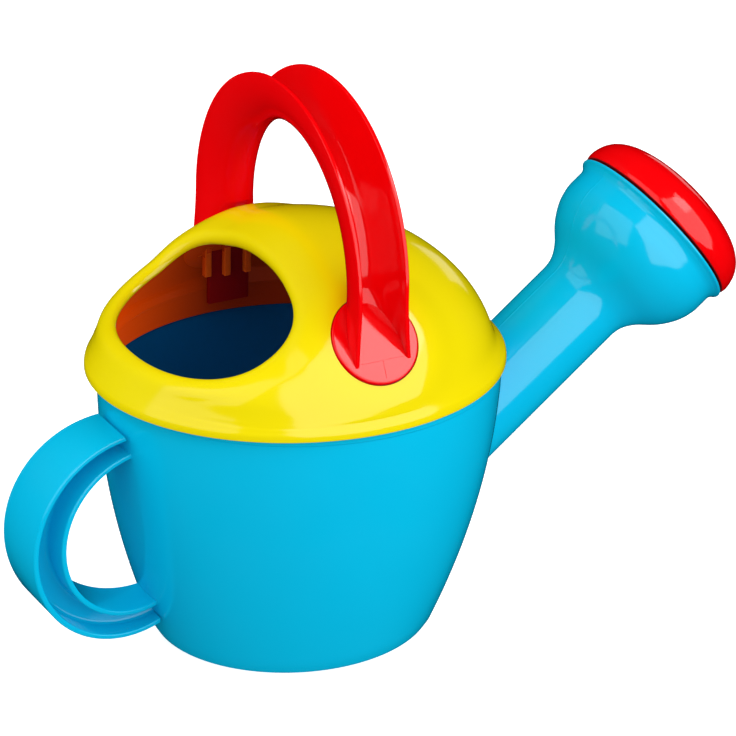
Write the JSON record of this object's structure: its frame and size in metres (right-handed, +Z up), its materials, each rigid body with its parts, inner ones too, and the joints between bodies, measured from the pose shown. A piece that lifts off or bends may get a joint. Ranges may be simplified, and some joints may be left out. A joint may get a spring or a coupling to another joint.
{
  "type": "toy watering can",
  "caption": "Oval moulded watering can with rear handle, domed lift-off lid with filler opening, arched top handle, bell-mouthed spout and pull-off sprinkler rose.",
  "frame": {"origin": "middle of the cup's foot, on the surface it stands on", "axes": "+Z up, +X towards the spout, -X towards the rear handle, the can is mirrored across the XZ plane"},
  "size_m": [0.2883, 0.14, 0.209],
  "materials": {
    "blue_plastic": "glossy moulded polypropylene",
    "yellow_plastic": "glossy moulded polypropylene",
    "red_plastic": "glossy moulded polypropylene"
  },
  "bodies": {
    "can": {"cup": "blue_plastic", "spout": "blue_plastic"},
    "lid": {"lid": "yellow_plastic", "top_handle": "red_plastic"},
    "rose": {"rose": "red_plastic"}
  },
  "joints": [
    {"name": "lid_lift", "type": "slide", "parent": "can", "child": "lid", "axis": [0, 0, 1], "range_m": [0, 0.06]},
    {"name": "rose_pull", "type": "slide", "parent": "can", "child": "rose", "axis": [0.7934, 0, 0.6088], "range_m": [0, 0.04]}
  ]
}
